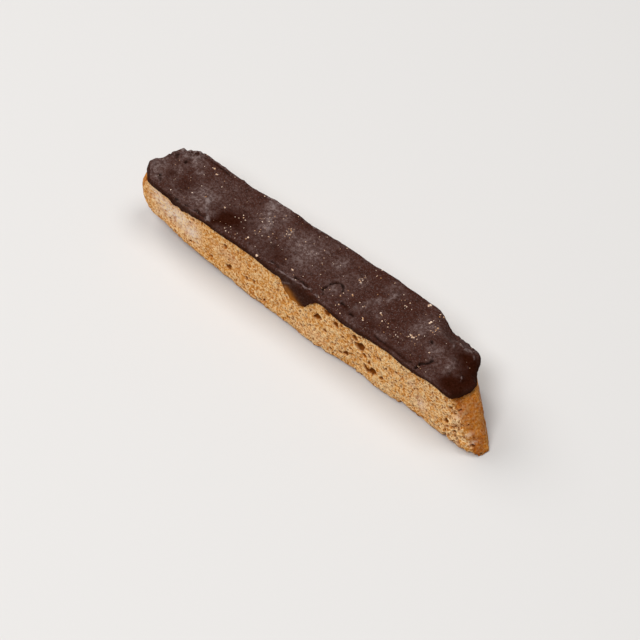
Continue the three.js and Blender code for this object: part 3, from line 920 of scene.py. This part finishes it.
def chocolate_material(settings):
    """Dark couverture, dipped and set: satin, nearly black, mottled by crumbs and bloomed, with painted
    sheen, highlights and shade.
    """
    material, tree = new_material("dark_chocolate_dipped_and_set")
    here = add_node(tree, "TexCoord").outputs["Object"]
    bloom_and_sheen, gloss_and_shade, wall, thin, fold = (
        add_node(tree, "Attribute", attribute_name=name).outputs["Fac"] for name in COAT_MARKS
    )
    # In order: clouds of bloomed chocolate and painted sheen are about 12 mm across, the mottle is 1.1 mm
    # and its grain 0.5 mm.
    clouds, mottle, grain = (
        add_node(
            tree, "TexNoise", {"Vector": here},
            {"Scale": per_metre(size_mm), "Detail": detail, "Roughness": roughness},
        ).outputs["Fac"]
        for size_mm, detail, roughness in ((12, 5, 0.6), (1.1, 5, 0.75), (0.5, 3, 0.6))
    )

    shares = {}
    for name, source, low, high in (
        ("cloud", clouds, 0.44, 0.64),
        ("pale mottle", mottle, 0.47, 0.6),
        ("dark mottle", mottle, 0.5, 0.38),
        ("red fleck", grain, 0.52, 0.64),
        ("grey fleck", grain, 0.48, 0.36),
        ("crest", fold, 0.08, 0.5),
        ("crease", fold, -0.06, -0.5),
    ):
        shares[name] = add_node(
            tree, "MapRange", {"Value": source}, {"From Min": low, "From Max": high},
            interpolation_type="SMOOTHSTEP",
        ).outputs["Result"]
    faint = add_node(tree, "Math", {0: shares["cloud"]}, {1: 0.3}, operation="MULTIPLY").outputs[0]
    cloudy = add_node(tree, "Math", {0: faint, 1: bloom_and_sheen}, operation="ADD", use_clamp=True).outputs[0]
    dull_and_lit = add_node(tree, "Math", {1: gloss_and_shade}, {0: 1.0}, operation="SUBTRACT").outputs[0]
    worn = add_node(
        tree, "MapRange", {"Value": mottle}, {"From Min": 0.42, "From Max": 0.58, "To Min": 0.25},
    ).outputs["Result"]
    dust_and_sheen = add_node(tree, "Math", {0: cloudy, 1: dull_and_lit}, operation="MULTIPLY").outputs[0]
    streak, fleck, crest = (
        add_node(tree, "Math", {0: share, 1: factor}, operation="MULTIPLY").outputs[0]
        for share, factor in (
            (dust_and_sheen, shares["pale mottle"]), (dull_and_lit, shares["grey fleck"]), (shares["crest"], worn),
        )
    )

    # Each layer covers what is under it by a share of its strength.
    skin = add_node(tree, "RGB").outputs[0]
    skin.default_value = settings.colour
    for share, strength, colour in (
        # Glossy dark and painted shade
        (gloss_and_shade, 0.9, DEEP_GLOSS_AND_SHADE),
        (shares["dark mottle"], 0.65, DARK_MOTTLE),
        # Bloomed chocolate with painted sheen and highlights
        (dust_and_sheen, 0.5, settings.bloom_and_sheen_colour),
        # Painted sheen streaks
        (streak, 0.65, PALE_MOTTLE_AND_SHEEN),
        (shares["red fleck"], 0.12, RED_FLECK),
        (fleck, 0.45, GREY_FLECK),
        # Painted shade on the steep sides
        (wall, 0.5, STEEP_WALL_SHADE),
        # Painted highlight on the crests, partly worn bloom
        (crest, 0.8, WORN_CREST_HIGHLIGHT),
        # Painted shade in the creases
        (shares["crease"], 0.85, CREASE_SHADE),
        (thin, 0.85, settings.thin_colour),
    ):
        weight = add_node(tree, "Math", {0: share}, {1: strength}, operation="MULTIPLY").outputs[0]
        skin = add_node(tree, "Mix", {0: weight, 6: skin}, {7: colour}, data_type="RGBA").outputs[2]

    satin = add_node(tree, "MapRange", {"Value": dull_and_lit}, {"To Min": 0.26, "To Max": 0.42}).outputs["Result"]
    roughness = add_node(tree, "Math", {0: satin, 1: wall}, operation="ADD", use_clamp=True).outputs[0]
    # Bloom scatters light back; where there is none, and on the steep sides, the chocolate stays deep.
    deep = add_node(tree, "Math", {0: gloss_and_shade, 1: wall}, operation="MAXIMUM").outputs[0]
    sheen = add_node(tree, "MapRange", {"Value": deep}, {"To Min": 0.05, "To Max": 0.01}).outputs["Result"]
    bump_fine = add_node(tree, "Bump", {"Height": grain}, {"Strength": 0.7, "Distance": 0.1 * MM})
    bump = add_node(
        tree, "Bump", {"Height": mottle, "Normal": bump_fine.outputs["Normal"]},
        {"Strength": 0.8, "Distance": 0.25 * MM},
    )
    shader = add_node(
        tree, "BsdfPrincipled",
        {
            "Base Color": skin, "Roughness": roughness,
            "Specular IOR Level": sheen, "Normal": bump.outputs["Normal"],
        },
        {"IOR": 1.5},
    )
    add_node(tree, "OutputMaterial", {"Surface": shader.outputs["BSDF"]})
    return material


class BISCOTTO_OT_chocolate(bpy.types.Operator):
    """Makes the dark chocolate coat with its folds, rim and drip"""

    bl_idname = "biscotto.chocolate"
    bl_label = "Chocolate coat"

    def execute(self, context):
        settings = context.scene.biscotto_chocolate
        piece = copy_of_node("chocolate_coat", "dipped_chocolate")
        apply_modifier(piece, "REMESH", mode="VOXEL", voxel_size=settings.grain, adaptivity=0.0)
        apply_modifier(piece, "SMOOTH", factor=0.5, iterations=4)
        shape_coat(piece, settings.wave)
        mark_coat(piece)
        dress(piece, chocolate_material(settings), ["chocolate_coat"])
        return {"FINISHED"}


# ----------------------------------------------
# The crumbs on the chocolate


def crumb_places(settings):
    """Where each speck lies on the top and its half size, in mm: the clusters, then the loose ones."""
    rng = random.Random(settings.seed)
    specks = []
    for x, y, spread, count, size in CRUMB_CLUSTERS:
        for _ in range(count):
            place = rng.gauss(x, spread * 0.6), rng.gauss(y, spread * 0.6)
            specks.append((*place, size * rng.uniform(0.45, 1.1)))
    for _ in range(settings.count):
        x = rng.uniform(-70, 62)
        y = rng.uniform(-11.5, 10.5)
        specks.append((x, y, 0.08 + 0.14 * rng.random() ** 2))
    return specks, rng


def crumb_material(settings):
    """Crumbs of the same dough: matt, from floury white to toasted tan."""
    material, tree = new_material("baked_dough_crumbs")
    tone = add_node(tree, "Attribute", attribute_name="tone").outputs["Fac"]
    colour = add_node(
        tree, "Mix", {0: tone}, {6: settings.pale_colour, 7: settings.tan_colour}, data_type="RGBA",
    ).outputs[2]
    shader = add_node(tree, "BsdfPrincipled", {"Base Color": colour}, {"Roughness": 0.8, "IOR": 1.45})
    add_node(tree, "OutputMaterial", {"Surface": shader.outputs["BSDF"]})
    return material


class BISCOTTO_OT_crumbs(bpy.types.Operator):
    """Scatters crumbs of the biscuit over the chocolate"""

    bl_idname = "biscotto.crumbs"
    bl_label = "Crumbs"

    def execute(self, context):
        settings = context.scene.biscotto_crumbs
        coat = surface_of(bpy.data.objects["dipped_chocolate"])
        specks, rng = crumb_places(settings)
        places = []
        for x, y, size in specks:
            hit, normal, _, _ = coat.ray_cast(Vector((x * MM, y * MM, 2 * HEIGHT)), Vector((0, 0, -1)))
            if hit is None or hit.z < 0.85 * HEIGHT:
                continue
            lie = normal.to_track_quat("Z", "Y").to_matrix().to_4x4()
            spin = Matrix.Rotation(rng.uniform(0, math.tau), 4, "Z")
            shape = Matrix.Diagonal((size * rng.uniform(0.8, 1.4) * MM, size * MM, size * 0.7 * MM, 1))
            places.append(Matrix.Translation(hit) @ lie @ spin @ shape)
        deselect_all()
        bpy.ops.mesh.primitive_ico_sphere_add(subdivisions=1, radius=1.0)
        corners = len(bpy.context.object.data.vertices)
        piece = joined_copies(bpy.context.object, places, "chocolate_crumbs")
        for v in piece.data.vertices:
            v.co = keep_in_box(v.co + noise.noise_vector(v.co / (0.3 * MM)) * 0.18 * MM)
        tones = [rng.random() for _ in places]
        store(piece, ("tone",), [(tones[v.index // corners],) for v in piece.data.vertices])
        dress(piece, crumb_material(settings))
        bpy.ops.object.shade_flat()
        return {"FINISHED"}


# ----------------------------------------------
# The stage


def floor_material(settings):
    """Matt pale board: even and plain, so that the part's own colours read true."""
    material, tree = new_material("matt_pale_board")
    shader = add_node(
        tree, "BsdfPrincipled", None,
        {"Base Color": settings.floor_colour, "Roughness": 0.9, "Specular IOR Level": 0.1},
    )
    add_node(tree, "OutputMaterial", {"Surface": shader.outputs["BSDF"]})
    return material


class BISCOTTO_OT_stage(bpy.types.Operator):
    """Lays the floor and sets the lights and the camera"""

    bl_idname = "biscotto.stage"
    bl_label = "Floor, light and camera"

    def execute(self, context):
        settings = context.scene.biscotto_stage
        deselect_all()
        bpy.ops.mesh.primitive_plane_add(size=FLOOR_SIZE, location=(0, 0, 0))
        floor = context.object
        floor.name = "floor"
        floor.data.materials.append(floor_material(settings))

        world = bpy.data.worlds.new("soft_surround")
        world.use_nodes = True
        surround = world.node_tree.nodes["Background"]
        surround.inputs["Color"].default_value = SURROUND_TINT
        surround.inputs["Strength"].default_value = settings.soft_light
        context.scene.world = world
        context.scene.view_settings.view_transform = "Standard"

        for name, place, size, share in SOFTBOXES:
            light = bpy.data.lights.new(name, "AREA")
            light.shape = "DISK"
            light.size = size
            away = Vector(place)
            light.energy = share * math.pi**2 * away.length_squared / away.normalized().z
            softbox = bpy.data.objects.new(name, light)
            softbox.location = away
            softbox.rotation_mode = "QUATERNION"
            softbox.rotation_quaternion = away.to_track_quat("Z", "Y")
            context.scene.collection.objects.link(softbox)

        back = Vector((
            math.sin(settings.azimuth) * math.cos(settings.elevation),
            -math.cos(settings.azimuth) * math.cos(settings.elevation),
            math.sin(settings.elevation),
        ))
        target = Vector(CAMERA_TARGET) * MM
        camera = bpy.data.objects.new("camera", bpy.data.cameras.new("camera"))
        camera.data.lens = settings.lens
        camera.data.clip_start = 0.01
        camera.data.clip_end = 20.0
        camera.location = target + back * settings.distance
        camera.rotation_mode = "QUATERNION"
        camera.rotation_quaternion = back.to_track_quat("Z", "Y")
        context.scene.collection.objects.link(camera)
        context.scene.camera = camera
        return {"FINISHED"}


# ----------------------------------------------
# The add-on

GROUPS = (
    ("biscotto_biscuit", BiscuitSettings, BISCOTTO_OT_biscuit),
    ("biscotto_chocolate", ChocolateSettings, BISCOTTO_OT_chocolate),
    ("biscotto_crumbs", CrumbSettings, BISCOTTO_OT_crumbs),
    ("biscotto_stage", StageSettings, BISCOTTO_OT_stage),
)


class BISCOTTO_PT_panel(bpy.types.Panel):
    """Lists each piece's settings with the button that makes it"""

    bl_idname = "BISCOTTO_PT_panel"
    bl_label = "Biscotto"
    bl_space_type = "VIEW_3D"
    bl_region_type = "UI"
    bl_category = "Biscotto"

    def draw(self, context):
        for name, group, operator in GROUPS:
            box = self.layout.box()
            box.operator(operator.bl_idname)
            for setting in group.__annotations__:
                box.prop(getattr(context.scene, name), setting)


def register():
    for name, group, operator in GROUPS:
        bpy.utils.register_class(group)
        bpy.utils.register_class(operator)
        setattr(bpy.types.Scene, name, PointerProperty(type=group))
    bpy.utils.register_class(BISCOTTO_PT_panel)


def unregister():
    bpy.utils.unregister_class(BISCOTTO_PT_panel)
    for name, group, operator in reversed(GROUPS):
        delattr(bpy.types.Scene, name)
        bpy.utils.unregister_class(operator)
        bpy.utils.unregister_class(group)


def main():
    register()
    bpy.ops.biscotto.biscuit()
    bpy.ops.biscotto.chocolate()
    bpy.ops.biscotto.crumbs()
    bpy.ops.biscotto.stage()


if __name__ == "__main__":
    main()
